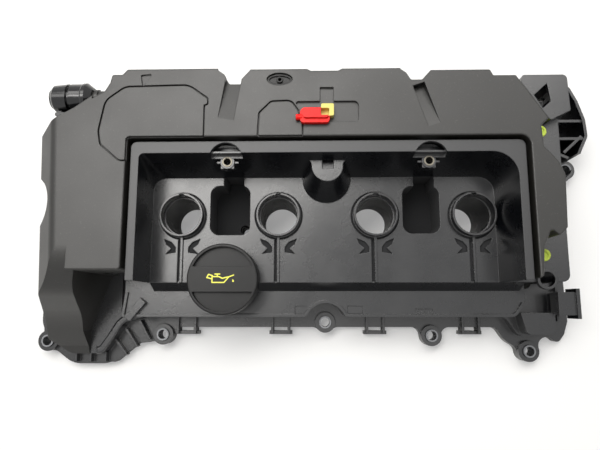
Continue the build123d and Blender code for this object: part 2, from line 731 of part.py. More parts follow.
def back_notch(x, grow=0):
    """One screwdriver notch in the back edge of the shroud."""
    return flat([
        (x - 16 - grow, 125), (x - 13 - grow, 112.5, 3), (x - 8 - grow, 109, 2),
        (x - 4.5 - grow, 103 - grow, 2), (x + 4.5 + grow, 103 - grow, 2),
        (x + 8 + grow, 107, 2), (x + 13 + grow, 112.5, 4), (x + 17 + grow, 125),
    ])


def ramp(front, turn, width, wall=0):
    """One shallow channel sloping to a back notch, thickened by a wall below and beside it."""
    low = SHROUD_TOP - wall
    profile = Plane.YZ * flat([(-wall, SHROUD_TOP + 1), (-wall, low), (RAMP_LENGTH, low - RAMP_DEPTH),
                               (RAMP_LENGTH, SHROUD_TOP + 1)])
    channel = Pos(-width / 2 - wall, 0, 0) * extrude(profile, width + 2 * wall, dir=(1, 0, 0))
    return Pos(*front) * Rot(0, 0, turn) * channel


@cache
def end_plan():
    """The plan of the shroud's left end."""
    return flat([
        (LEFT_X, -92, 12), (-250, -109, 12), (-234, -121, 12), (END_PLAN_RIGHT, -121),
        (END_PLAN_RIGHT, 92), (-206, 82), (-222, 73, 6), (LEFT_X, 55, 16),
    ])


def end_form(inset):
    """The left end of the shroud: its plan, its bevelled side and its falling front, met."""
    side = Plane.XZ * flat([
        (LEFT_X, TRAY_TOP), (LEFT_X + SIDE_RUN, TRAY_TOP + SIDE_RISE, 14), (-218, SHROUD_TOP, 10),
        (-180, SHROUD_TOP), (-180, TRAY_TOP),
    ])
    nose = Plane.YZ * flat([
        (120, TRAY_TOP), (120, SHROUD_TOP), (-57, SHROUD_TOP, 45), (-88, 50, 90),
        (-114, TRAY_TOP + 4), (-123, TRAY_TOP),
    ])
    turn = Pos(LEFT_X, SIDE_PIVOT_Y, 0) * Rot(0, 0, SIDE_TURN) * Pos(-LEFT_X, -SIDE_PIVOT_Y, 0)
    form = layer(grown(end_plan(), -inset), 0, 200)
    form &= turn * Pos(inset, 200, -inset) * extrude(side, 400, dir=(0, -1, 0))
    form &= Pos(-300, inset, -inset) * extrude(nose, 400, dir=(1, 0, 0))
    return form


def side_scoop(grow):
    """The shallow flute in the left side."""
    lean = degrees(atan2(SIDE_RUN, SIDE_RISE))
    middle_x = LEFT_X + SIDE_RUN / 2 - SCOOP_R + SCOOP_DEPTH
    middle_z = TRAY_TOP + SIDE_RISE / 2
    return Pos(middle_x, SCOOP_Y, middle_z) * Rot(0, lean, 0) * Cylinder(SCOOP_R + grow, 200)


def nose_pocket(grow):
    """The deep pocket between the shroud's left end and the ledge."""
    plan = flat([(-200 - grow, ARM_FRONT + grow), (-217 - grow, -100), (-217 - grow, -130),
                 (-150, -130), (-150, ARM_FRONT + grow)])
    return layer(plan, 0, 200)


@cache
def corner_panel_outline():
    """The curved panel over the crankcase valve."""
    left = RIM_OUT_LEFT - GROOVE - 0.6
    back = RIM_OUT_BACK + GROOVE + 0.6
    return flat([(left, 37.3, 1), (-167.5, 37.6, 4), (-183, 51, 5), (-185, 62, 12), (-180.5, 87.5, 12),
                 (-165, 99, 12), (-113, 100, 14), (-97.2, 88.5, 3), (-97.2, 84, 1), (-100, 83, 1),
                 (-100, back, 1), (left, back, 3)])


@cache
def small_panel_outline():
    """The small arched panel beside the badge recess."""
    back = RIM_OUT_BACK + GROOVE + 0.6
    return flat([(-56, back, 1), (-55, 76, 3), (-45.5, 85.5, 6), (-29.5, 86, 6), (-24.3, 78.5, 3),
                 (-20.3, 66.4, 2), (-20.3, back, 1)])


@cache
def badge_outline():
    """The recess for the collar and the clip, with the channel to the back edge."""
    recess = flat([(-25.5, 68, 2), (25, 68, 3), (25, 85.5, 4), (-25.5, 85.5, 2)])
    return recess + rect(-6, 84, 5, 97.2) - grown(small_panel_outline(), PANEL_SEAM + PANEL_EDGE)


def shroud_cavity():
    """The chamber inside the shroud."""
    cavity = layer(grown(main_outline(), -SHROUD_WALL), 0, SHROUD_TOP - SHROUD_WALL)
    end = end_form(SHROUD_WALL) - nose_pocket(SHROUD_WALL) - side_scoop(SHROUD_WALL)
    keep = []
    for *channel, notch_x in RAMPS:
        keep.append(layer(back_notch(notch_x, SHROUD_WALL), 0, SHROUD_TOP))
        keep.append(ramp(*channel, SHROUD_WALL))
    return cavity + end - keep


def top_shroud():
    """The smooth upper shell."""
    plan = main_outline()
    top = layer(plan, DECK_TOP, SHROUD_TOP)
    top = fillet(top.edges().group_by(Axis.Z)[-1], 1.2)
    end = end_form(0) - nose_pocket(0) - side_scoop(0)
    shell = top + end - shroud_cavity()
    low = SHROUD_TOP - PANEL_THICK
    panels = (corner_panel_outline(), small_panel_outline())
    lands = [grown(panel, PANEL_SEAM + PANEL_LAND) & grown(plan, -0.5) for panel in panels]
    shell += [layer(land, low - SHROUD_WALL, low + 0.1) for land in lands]
    badge_low = SHROUD_TOP - BADGE_DEPTH
    vent_low = SHROUD_TOP - VENT_DEPTH
    shell += [
        layer(vent_outline(2.5), vent_low - SHROUD_WALL, SHROUD_TOP - 1), breather_stub(),
        layer(grown(badge_outline(), 1.5), badge_low - SHROUD_WALL, SHROUD_TOP - 2),
    ]
    cuts = [
        layer(badge_outline(), badge_low, SHROUD_TOP + 1),
        layer(vent_outline(0), vent_low, SHROUD_TOP + 1),
        post(VENT_X, VENT_Y, VENT_HOLE_R, vent_low - SHROUD_WALL - 1, SHROUD_TOP),
        layer(flat([(-152.6, 109.2, 1), (-143, 110, 1), (-151, 98.5, 1)]), SHROUD_TOP - 1.5,
              SHROUD_TOP + 1),
        along_x(STUB_BORE_R, STUB_END - 1, STUB_ROOT),
    ]
    for panel in panels:
        cuts.append(layer(grown(panel, PANEL_SEAM), low, SHROUD_TOP + 1))
        cuts.append(layer(grown(panel, -PANEL_LAND), low - SHROUD_WALL - 1, SHROUD_TOP))
    for *channel, notch_x in RAMPS:
        cuts += [layer(back_notch(notch_x), 0, 200), ramp(*channel)]
    return shell - cuts


def along_x(radius, x0, x1):
    """A cylinder on the breather's axis between two stations."""
    return Pos((x0 + x1) / 2, BREATHER_Y, BREATHER_Z) * Rot(0, 90, 0) * Cylinder(radius, x1 - x0)


def breather_stub():
    """The stub that the breather connector is pushed on."""
    groove = along_x(STUB_R + 1, RING_X - RING_GROOVE / 2, RING_X + RING_GROOVE / 2)
    groove -= along_x(STUB_R - 1.4, RING_X - RING_GROOVE, RING_X + RING_GROOVE)
    return along_x(STUB_R, STUB_END, STUB_ROOT) + along_x(STUB_R + 1.2, -197, -194) - groove


# Small pieces

def corner_panel():
    """The panel that closes the crankcase valve chamber."""
    return panel(corner_panel_outline())


def small_panel():
    """The small arched panel."""
    return panel(small_panel_outline())


def panel(outline):
    """A flush panel with a softened edge and a locating rim under it."""
    low = SHROUD_TOP - PANEL_THICK
    plate = layer(outline, low, SHROUD_TOP)
    plate = fillet(plate.edges().group_by(Axis.Z)[-1], 0.7)
    rim = grown(outline, -PANEL_LAND - 0.2)
    return plate + layer(rim - grown(rim, -1.8), low - SHROUD_WALL + 0.6, low)


def vent_outline(grow):
    """The oval of the vent near the back edge."""
    return Pos(VENT_X, VENT_Y) * Ellipse(VENT_RX + grow, VENT_RY + grow)


def vent_cap():
    """The oval vent cap set into the shroud beside the back edge."""
    low = SHROUD_TOP - VENT_DEPTH
    cap = layer(vent_outline(-PIECE_GAP), low, low + 2.4)
    cap -= layer(vent_outline(-2), low + 1.2, low + 3)
    cap += post(VENT_X, VENT_Y, VENT_HOLE_R - 0.8, low + 1, low + 3.2)
    return cap - post(VENT_X, VENT_Y, 1.4, low - 1, low + 4)


def square(size, radius):
    """A rounded square outline on the collar's axis."""
    return Pos(*COLLAR_AT) * fillet(Rectangle(size, size).vertices(), radius)


def yellow_collar():
    """The square collar in the middle of the badge recess, open at its front left corner."""
    low = SHROUD_TOP - BADGE_DEPTH
    shift = COLLAR_WALL
    return (layer(square(COLLAR_SIZE, 1.2), low, COLLAR_TOP)
            - Pos(-shift, -shift, 0) * layer(square(COLLAR_SIZE, 0.8), low + 1.2, COLLAR_TOP + 1))


def red_clip():
    """The flat clip that lies in front of the collar and is hooked in the recess."""
    low = SHROUD_TOP - BADGE_DEPTH
    shoulder = CLIP_TOP - 2
    bar_outline = flat([(-22, 66, 3), (1.5, 66, 3), (1.5, 78.5, 2), (-22, 78.5, 4)])
    hook = rect(-21.5, 68.4, 1.2, 78.2) & grown(badge_outline(), -PIECE_GAP)
    bar = layer(bar_outline, SHROUD_TOP, shoulder) + [
        layer(hook, low, SHROUD_TOP + 1),
        layer(flat([(-19.5, 69.5, 2), (0.5, 69.5, 2), (0.5, 77.5, 2), (-19.5, 77.5, 3)]),
              shoulder - 1, CLIP_TOP),
        Pos(-23, 71, SHROUD_TOP + 2.8) * Rot(0, 90, 0) * Cylinder(2.4, 5),
    ]
    grooves = [block(-18, 65, z - 0.6, 4, 67, z + 0.6) for z in (SHROUD_TOP + 1.4, SHROUD_TOP + 3.2)]
    return bar - [*grooves, layer(square(COLLAR_SIZE + 2 * PIECE_GAP, 1.2), low - 1, CLIP_TOP + 1)]


def breather_connector():
    """The push-on quick connector."""
    half_section = flat([
        (CONNECTOR_END, 0), (CONNECTOR_END, CONNECTOR_R - 3), (CONNECTOR_END + 2, CONNECTOR_R - 1),
        (-219.5, CONNECTOR_R), (-219.5, CONNECTOR_R - 2), (-216.5, CONNECTOR_R - 2),
        (-216.5, CONNECTOR_R), (-207, CONNECTOR_R), (-206, CONNECTOR_R + 0.6),
        (-203.5, CONNECTOR_R + 0.6), (CONNECTOR_NOSE, STUB_R + 2.4), (CONNECTOR_NOSE, 0),
    ])
    form = Pos(0, BREATHER_Y, BREATHER_Z) * revolve(Plane.XY * half_section, Axis.X)
    form -= along_x(STUB_R + CONNECTOR_GAP / 2, STUB_END - 0.5, CONNECTOR_NOSE + 1)
    form -= along_x(STUB_BORE_R, CONNECTOR_END + SOCKET_DEPTH - 1, CONNECTOR_NOSE + 1)
    return form - along_x(7.2, CONNECTOR_END - 1, CONNECTOR_END + SOCKET_DEPTH)


def connector_end_cap():
    """The plug in the open end of the connector."""
    cap = along_x(7.0, CONNECTOR_END - 0.4, CONNECTOR_END + SOCKET_DEPTH)
    return cap + along_x(8.2, CONNECTOR_END - 1.6, CONNECTOR_END)


def connector_latch():
    """The latch bar that runs beside the connector."""
    y0 = BREATHER_Y - CONNECTOR_R - LATCH_THICK - LATCH_GAP
    bar = block(-230, y0, BREATHER_Z - 5, -212, y0 + LATCH_THICK, BREATHER_Z + 5)
    bar = fillet(bar.edges().filter_by(Axis.Z), 1.6)
    for x in (-226.5, -214.5):
        bar += block(x - 1.4, y0 + 2, BREATHER_Z - 4, x + 1.4, BREATHER_Y - 6, BREATHER_Z + 4)
    return bar - along_x(CONNECTOR_R + 0.05, CONNECTOR_END - 5, CONNECTOR_NOSE + 5)


def breather_o_ring():
    """The seal ring on the stub, inside the connector."""
    return Pos(RING_X, BREATHER_Y, BREATHER_Z) * Rot(0, 90, 0) * Torus(STUB_R - 0.65, 0.75)


def oil_filler_cap():
    """The quarter-turn cap: domed disc with a grip bar, skirt, barrel and two lugs."""
    x, y = NECK_X, NECK_Y
    skirt_low = NECK_TOP - 7
    seat = NECK_TOP + RUNNING_GAP + SEAL_THICK
    cap = post(x, y, CAP_R, skirt_low, CAP_TOP)
    cap = fillet(cap.edges().group_by(Axis.Z)[-1], 1.4)
    dish = disc(0, 0, CAP_R - CAP_RIM) - rect(-CAP_R, -CAP_BAR_WIDTH / 2, CAP_R, CAP_BAR_WIDTH / 2)
    cap -= Pos(x, y, 0) * layer(dish, CAP_TOP - CAP_DISH_DEPTH, CAP_TOP + 1)
    cap -= post(x, y, CAP_R - CAP_WALL, skirt_low - 1, seat)
    barrel_low = NECK_TOP - NECK_THROAT_LENGTH - 6
    barrel_r = NECK_THROAT_R - CAP_BARREL_GAP
    cap += tube(x, y, barrel_r, barrel_r - 2.4, barrel_low, seat + 1)
    lugs = disc(0, 0, NECK_CHAMBER_R - 0.8) & rect(-30, -LUG_WIDTH / 2, 30, LUG_WIDTH / 2)
    lugs -= disc(0, 0, barrel_r - 1)
    cap += Pos(x, y, 0) * layer(lugs, barrel_low + 0.5, NECK_TOP - NECK_THROAT_LENGTH - 0.4)
    return cap


def oil_cap_seal():
    """The flat ring under the cap that closes on the neck."""
    low = NECK_TOP + RUNNING_GAP
    outer = NECK_R - 0.3
    return tube(NECK_X, NECK_Y, outer, NECK_THROAT_R - CAP_BARREL_GAP + 0.05, low, low + SEAL_THICK)


def valve_plate():
    """The rigid disc under the membrane, with its sealing pad."""
    low = NOZZLE_TOP + VALVE_TRAVEL + 1
    plate = post(VALVE_X, VALVE_Y, PLATE_R, low, low + PLATE_THICK)
    return plate + post(VALVE_X, VALVE_Y, NOZZLE_R, low - 1 + 0.2, low + 0.5)


def valve_membrane():
    """The thin rolled membrane over the plate."""
    low = NOZZLE_TOP + VALVE_TRAVEL + 1 + PLATE_THICK
    t = MEMBRANE_THICK
    r_in, r_roll = PLATE_R + 0.6, VALVE_RING_R - VALVE_RING_WALL - 0.6
    middle = (r_in + r_roll) / 2
    section = make_face([
        Line((0, low), (r_in, low)),
        ThreePointArc((r_in, low), (middle, low + 2.2), (r_roll, low)),
        Line((r_roll, low), (VALVE_RING_R, low)),
        Line((VALVE_RING_R, low), (VALVE_RING_R, low + t)),
        Line((VALVE_RING_R, low + t), (r_roll + t * 0.6, low + t)),
        ThreePointArc((r_roll + t * 0.6, low + t), (middle, low + 2.2 + t), (r_in - t * 0.6, low + t)),
        Line((r_in - t * 0.6, low + t), (0, low + t)), Line((0, low + t), (0, low)),
    ])
    return Pos(VALVE_X, VALVE_Y, 0) * revolve(Plane.XZ * section, Axis.Z)


def valve_spring():
    """The spring between the deck and the plate."""
    low = DECK_TOP + SPRING_WIRE_R
    high = NOZZLE_TOP + VALVE_TRAVEL + 1 - SPRING_WIRE_R - 0.05
    path = Helix((high - low) / SPRING_TURNS, high - low, SPRING_R)
    start = path @ 0
    section = Plane(origin=start, z_dir=path % 0) * Circle(SPRING_WIRE_R)
    return Pos(VALVE_X, VALVE_Y, low) * sweep(section, path=path, is_frenet=True)


def bolt_sleeves():
    """The steel sleeves that take the clamping load, one in each lug."""
    return Compound(children=[
        tube(x, y, SLEEVE_R, SLEEVE_BORE_R, 0, SLEEVE_TOP) for x, y in SLEEVES])


def bracket_inserts():
    """The threaded inserts in the two tabs."""
    return Compound(children=[
        tube(x, TAB_Y, INSERT_R, INSERT_BORE_R, TAB_TOP - INSERT_LENGTH + 1, TAB_TOP + 1.6)
        for x in TAB_PLACES])


def perimeter_gasket():
    """The gasket in the sole of the foot."""
    return layer(gasket_groove(0), 0, GASKET_DEPTH)


def plug_well_seal(x):
    """The ring seal under one well."""
    return tube(x, 0, WELL_OUT_R + PLUG_SEAL_WIDTH - GASKET_GAP, WELL_OUT_R + GASKET_GAP, 0,
                PLUG_SEAL_DEPTH)


def separator_baffle():
    """The baffle plate under the deck, with its folded front lip and drain slots."""
    x0, y0, x1, y1 = BAFFLE_BOX
    low = BAFFLE_TOP - BAFFLE_THICK
    plate = block(x0, y0, low, x1, y1, BAFFLE_TOP)
    plate += block(x0, y0, low, x1, y0 + BAFFLE_THICK, BAFFLE_TOP + 5)
    for x, y in peg_places():
        plate -= post(x, y, PEG_R + 0.1, low - 1, BAFFLE_TOP + 1)
    pitch = (x1 - x0) / (BAFFLE_SLOTS + 1)
    for i in range(1, BAFFLE_SLOTS + 1):
        x = x0 + i * pitch
        plate -= block(x - 6, y1 - 10, low - 1, x + 6, y1 - 7, BAFFLE_TOP + 1)
    return plate


def end_plug(x, y):
    """A round plug pressed in the end plate."""
    cap = post(x, y, END_PLUG_R, DECK_TOP, DECK_TOP + 4.5)
    cap = fillet(cap.edges().group_by(Axis.Z)[-1], 1.2)
    cap -= post(x, y, END_PLUG_R - 2.2, DECK_TOP + 3.4, DECK_TOP + 6)
    return cap + post(x, y, END_PLUG_STEM_R, DECK_TOP - WALL - 2, DECK_TOP + 1)


def build():
    """Every node of the cover, by name."""
    nodes = {
        "cover_body": cover_body(),
        "top_shroud": top_shroud(),
        "corner_panel": corner_panel(),
        "small_panel": small_panel(),
        "vent_cap": vent_cap(),
        "yellow_collar": yellow_collar(),
        "red_clip": red_clip(),
        "breather_connector": breather_connector(),
        "connector_end_cap": connector_end_cap(),
        "connector_latch": connector_latch(),
        "breather_o_ring": breather_o_ring(),
        "oil_filler_cap": oil_filler_cap(),
        "oil_cap_seal": oil_cap_seal(),
        "valve_plate": valve_plate(),
        "valve_membrane": valve_membrane(),
        "valve_spring": valve_spring(),
        "bolt_sleeves": bolt_sleeves(),
        "bracket_inserts": bracket_inserts(),
        "perimeter_gasket": perimeter_gasket(),
        "separator_baffle": separator_baffle(),
    }
    for number, x in enumerate(WELL_XS, start=1):
        nodes[f"plug_well_seal_{number}"] = plug_well_seal(x)
    for name, (x, y) in PLUG_PLACES.items():
        nodes[name] = end_plug(x, y)
    return nodes


def main():
    """Write one file per node."""
    os.makedirs("parts", exist_ok=True)
    for name, shape in build().items():
        export_step(shape, f"parts/{name}.step")


main()
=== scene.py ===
"""Dresses the valve cover: its moulded plastics, metals, rubbers, printed symbol and studio."""

import math

import bmesh
import bpy
from mathutils import Matrix, Vector


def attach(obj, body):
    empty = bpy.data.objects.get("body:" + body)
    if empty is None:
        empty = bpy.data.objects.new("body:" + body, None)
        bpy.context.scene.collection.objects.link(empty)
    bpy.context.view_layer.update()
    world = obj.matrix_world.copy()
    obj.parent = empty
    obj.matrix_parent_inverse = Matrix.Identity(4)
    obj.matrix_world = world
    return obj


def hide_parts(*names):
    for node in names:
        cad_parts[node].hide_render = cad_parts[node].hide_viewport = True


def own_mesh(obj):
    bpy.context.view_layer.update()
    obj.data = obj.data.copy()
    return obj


bl_info = {
    "name": "Valve Cover Dresser",
    "version": (1, 0, 0),
    "blender": (4, 5, 0),
    "location": "3D Viewport > Sidebar > Valve Cover",
    "description": "Gives a moulded valve cover its surfaces, its printed symbol and a studio",
    "category": "Object",
}

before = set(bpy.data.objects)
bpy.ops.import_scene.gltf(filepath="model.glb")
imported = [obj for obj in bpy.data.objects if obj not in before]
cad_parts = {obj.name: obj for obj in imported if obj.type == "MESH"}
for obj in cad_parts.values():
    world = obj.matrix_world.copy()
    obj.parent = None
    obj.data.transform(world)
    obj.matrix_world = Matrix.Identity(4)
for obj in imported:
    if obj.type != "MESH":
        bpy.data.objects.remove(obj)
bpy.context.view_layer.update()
MM = 0.001

NYLON_IOR = 1.53
ERODED_ROUGHNESS = 0.95
WORN_ROUGHNESS = 0.5
RUBBER_ROUGHNESS = 0.7
CARD_ROUGHNESS = 0.9
# How much smoother and rougher than its mean a turned metal gets from handling
POLISHED_BY, DULLED_BY = 0.08, 0.12
# How much lighter than the rubber its bloom is
BLOOM_GAIN = 1.8

# Boxes, in metres, where the lower moulding is duller, and how rough it is there: the two pockets
# and the marks that are sunk in the valley floor, then the rim's top, which hands have rubbed
DULL_BOXES = (
    ((-0.103, -0.018, 0.022), (-0.066, 0.036, 0.0572), ERODED_ROUGHNESS),
    ((0.065, -0.018, 0.022), (0.099, 0.036, 0.0572), ERODED_ROUGHNESS),
    ((-0.150, -0.057, 0.0555), (0.146, 0.020, 0.0572), ERODED_ROUGHNESS),
    ((-0.200, -0.090, 0.1004), (0.200, 0.090, 0.1016), WORN_ROUGHNESS),
)


def linear(hex_colour):
    """The linear colour of an sRGB hex value."""
    channels = [int(hex_colour[i:i + 2], 16) / 255 for i in (1, 3, 5)]
    return tuple(c / 12.92 if c <= 0.04045 else ((c + 0.055) / 1.055) ** 2.4 for c in channels)


def colour(name, hex_colour):
    """A colour setting with its name and default."""
    return bpy.props.FloatVectorProperty(
        name=name, description=f"Colour of the {name.lower()}", subtype="COLOR",
        default=linear(hex_colour), min=0, max=1)


def length(name, description, default):
    """A length setting in metres."""
    return bpy.props.FloatProperty(
        name=name, description=description, default=default, min=0, subtype="DISTANCE",
        unit="LENGTH", precision=5)


def power(name, description, default):
    """A lamp's power in watts."""
    return bpy.props.FloatProperty(
        name=name, description=description, default=default, min=0, subtype="POWER", unit="POWER")


class PlasticSettings(bpy.types.PropertyGroup):
    """Colours and grain of the plastics."""
    shroud: colour("Shroud nylon", "#141310")
    body: colour("Body nylon", "#050609")
    cap: colour("Cap nylon", "#0C0C0C")
    connector: colour("Connector nylon", "#08080A")
    clip: colour("Red clip", "#E2120B")
    collar: colour("Yellow collar", "#D9CF72")
    plug: colour("End plugs", "#C9DC5A")
    ink: colour("Symbol ink", "#E6E44E")
    dust: colour("Dust", "#A9A69E")
    edge_radius: length("Edge radius", "Radius that a moulded edge shows", 0.8 * MM)
    shroud_grain: length("Shroud grain", "Eroded grain, drawn coarser to show", 1.1 * MM)
    body_grain: length("Body grain", "Fibre clusters in the skin of the lower moulding", 2.4 * MM)
    gloss_patch: length("Gloss patch", "Size of the patches in which a moulding cooled", 38 * MM)
    speck: length("Speck", "Size of the dust specks, drawn coarser to show", 1.6 * MM)


class MetalSettings(bpy.types.PropertyGroup):
    """Colours of the metal and rubber pieces."""
    steel: colour("Sleeve steel", "#6F7072")
    spring: colour("Spring steel", "#9A9CA0")
    insert: colour("Insert brass", "#68645B")
    rubber: colour("Seal rubber", "#1A1A1B")
    membrane: colour("Membrane rubber", "#5A3A28")


class SymbolSettings(bpy.types.PropertyGroup):
    """Place and size of the printed symbol on the oil cap."""
    centre: bpy.props.FloatVectorProperty(
        name="Centre", description="Middle of the symbol on the grip bar", subtype="TRANSLATION",
        unit="LENGTH", default=(-88.5 * MM, -55.4 * MM, 78.0 * MM))
    stroke: length("Stroke", "Width of the symbol's lines", 1.0 * MM)
    height: length("Height", "How far the symbol stands above the bar", 0.15 * MM)


class StageSettings(bpy.types.PropertyGroup):
    """Camera, lamps and floor."""
    eye: bpy.props.FloatVectorProperty(
        name="Camera place", description="Where the camera stands", subtype="TRANSLATION",
        unit="LENGTH", default=(-13.1 * MM, -77.1 * MM, 505.5 * MM))
    tilt: bpy.props.FloatVectorProperty(
        name="Camera tilt", description="Turn of the camera about X and Y", subtype="EULER",
        unit="ROTATION", default=(math.radians(8.746), math.radians(1.307), 0))
    lens: bpy.props.FloatProperty(
        name="Lens", description="Focal length in millimetres", default=31.2, min=1)
    window_power: power("Window power", "Power of the bright lamp over the left half", 13.0)
    back_power: power("Back power", "Power of the wide lamp behind", 17.5)
    side_power: power("Side power", "Power of the lamp far on the left", 3.0)
    far_power: power("Far power", "Power of the lamp far on the right", 1.5)
    well_power: power("Well power", "Power of the lamp that shines down the wells", 2.0)
    sky: bpy.props.FloatProperty(
        name="Sky", description="Light from the room on dull surfaces, where 1 is white",
        default=0.2, min=0)
    floor: colour("Floor", "#F6F6F5")
    floor_lift: bpy.props.FloatProperty(
        name="Floor lift", description="Share of plain white that the camera sees in the floor",
        default=0.26, min=0, max=1, subtype="FACTOR")


def node(tree, kind, inputs=None, **settings):
    """Add a node with its settings, and set or link its inputs."""
    made = tree.nodes.new(kind)
    for name, value in settings.items():
        setattr(made, name, value)
    for name, value in (inputs or {}).items():
        if isinstance(value, bpy.types.NodeSocket):
            tree.links.new(value, made.inputs[name])
        else:
            made.inputs[name].default_value = value
    return made


def start_material(name):
    """An empty material, with its tree, its shader and its object coordinates."""
    material = bpy.data.materials.new(name)
    material.use_nodes = True
    tree = material.node_tree
    tree.nodes.clear()
    shader = node(tree, "ShaderNodeBsdfPrincipled")
    node(tree, "ShaderNodeOutputMaterial", {"Surface": shader.outputs["BSDF"]})
    place = node(tree, "ShaderNodeTexCoord").outputs["Object"]
    return material, tree, shader, place


# Sockets of a Mix node that mixes colours
MIX_A, MIX_B, MIX_RESULT = 6, 7, 2


def tinted(tree, amount, first, second):
    """A colour that goes from the first to the second as the amount goes from 0 to 1."""
    mix = node(tree, "ShaderNodeMix", {"Factor": amount, MIX_A: (*first, 1), MIX_B: (*second, 1)},
               data_type="RGBA")
    return mix.outputs[MIX_RESULT]


def inside(tree, place, low, high):
    """A mask that is 1 inside a box of the object's own space and 0 outside it."""
    axes = node(tree, "ShaderNodeSeparateXYZ", {0: place})
    mask = None
    for axis in range(3):
        middle = (low[axis] + high[axis]) / 2
        half = (high[axis] - low[axis]) / 2
        near = node(tree, "ShaderNodeMath", {0: axes.outputs[axis], 1: middle, 2: half},
                    operation="COMPARE").outputs[0]
        if mask:
            near = node(tree, "ShaderNodeMath", {0: mask, 1: near}, operation="MULTIPLY").outputs[0]
        mask = near
    return mask


def roughened(tree, place, rough, boxes):
    """A roughness that takes each box's own value inside it."""
    for low, high, value in boxes:
        rough = node(tree, "ShaderNodeMix", {0: inside(tree, place, low, high), 2: rough, 3: value},
                     data_type="FLOAT").outputs[0]
    return rough


def moulded_plastic(name, base, roughness, spread, grain, relief, dust=0.0, edge=0.8 * MM,
                    gloss=0.5, rough_boxes=()):
    """A moulded thermoplastic.

    The tool's grain breaks the gloss up into a fine sparkle, slow changes in roughness show where
    the melt cooled, edges catch the light on their small radius, and a little dust lies on it.
    """
    plastics = bpy.context.scene.valvecover_plastics
    material, tree, shader, place = start_material(name)
    patches = node(tree, "ShaderNodeTexNoise", {"Vector": place, "Scale": 1 / plastics.gloss_patch,
                                                "Detail": 4, "Roughness": 0.6})
    rough = node(tree, "ShaderNodeMapRange", {
        "Value": patches.outputs["Fac"], "From Min": 0.3, "From Max": 0.7,
        "To Min": roughness - spread, "To Max": roughness + spread})
    specks = node(tree, "ShaderNodeTexNoise", {"Vector": place, "Scale": 1 / plastics.speck,
                                               "Detail": 5, "Roughness": 0.7})
    dusty = node(tree, "ShaderNodeMapRange", {"Value": specks.outputs["Fac"], "From Min": 0.6,
                                              "From Max": 0.76, "To Min": 0.0, "To Max": dust})
    sparkle = node(tree, "ShaderNodeTexNoise", {"Vector": place, "Scale": 1 / grain, "Detail": 3,
                                                "Roughness": 0.55})
    rounded = node(tree, "ShaderNodeBevel", {"Radius": edge}, samples=4)
    bump = node(tree, "ShaderNodeBump", {"Height": sparkle.outputs["Fac"], "Distance": relief,
                                         "Normal": rounded.outputs["Normal"]})
    tree.links.new(tinted(tree, dusty.outputs["Result"], base, plastics.dust),
                   shader.inputs["Base Color"])
    tree.links.new(roughened(tree, place, rough.outputs["Result"], rough_boxes),
                   shader.inputs["Roughness"])
    tree.links.new(bump.outputs["Normal"], shader.inputs["Normal"])
    shader.inputs["IOR"].default_value = NYLON_IOR
    shader.inputs["Specular IOR Level"].default_value = gloss
    return material


def turned_metal(name, base, roughness, pitch, relief):
    """A turned metal: rings from the tool, drawn at a pitch that shows, under a dulled plating."""
    material, tree, shader, place = start_material(name)
    rings = node(tree, "ShaderNodeTexNoise", {"Vector": place, "Scale": 1 / pitch, "Detail": 2,
                                              "Roughness": 0.5})
    rough = node(tree, "ShaderNodeMapRange", {
        "Value": rings.outputs["Fac"], "To Min": roughness - POLISHED_BY,
        "To Max": roughness + DULLED_BY})
    bump = node(tree, "ShaderNodeBump", {"Height": rings.outputs["Fac"], "Distance": relief})
    tree.links.new(rough.outputs["Result"], shader.inputs["Roughness"])
    tree.links.new(bump.outputs["Normal"], shader.inputs["Normal"])
    shader.inputs["Base Color"].default_value = (*base, 1)
    shader.inputs["Metallic"].default_value = 1.0
    return material


def moulded_rubber(name, base):
    """A moulded rubber: matt, with a fine bloom that lightens it in patches."""
    material, tree, shader, place = start_material(name)
    bloom = node(tree, "ShaderNodeTexNoise", {"Vector": place, "Scale": 1 / (4 * MM), "Detail": 5})
    pale = [min(1, channel * BLOOM_GAIN) for channel in base]
    bump = node(tree, "ShaderNodeBump", {"Height": bloom.outputs["Fac"], "Distance": 0.04 * MM})
    tree.links.new(tinted(tree, bloom.outputs["Fac"], base, pale), shader.inputs["Base Color"])
    tree.links.new(bump.outputs["Normal"], shader.inputs["Normal"])
    shader.inputs["Roughness"].default_value = RUBBER_ROUGHNESS
    return material


def dress(names, material):
    """Give the named CAD nodes one material."""
    for name in names:
        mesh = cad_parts[name].data
        mesh.materials.clear()
        mesh.materials.append(material)


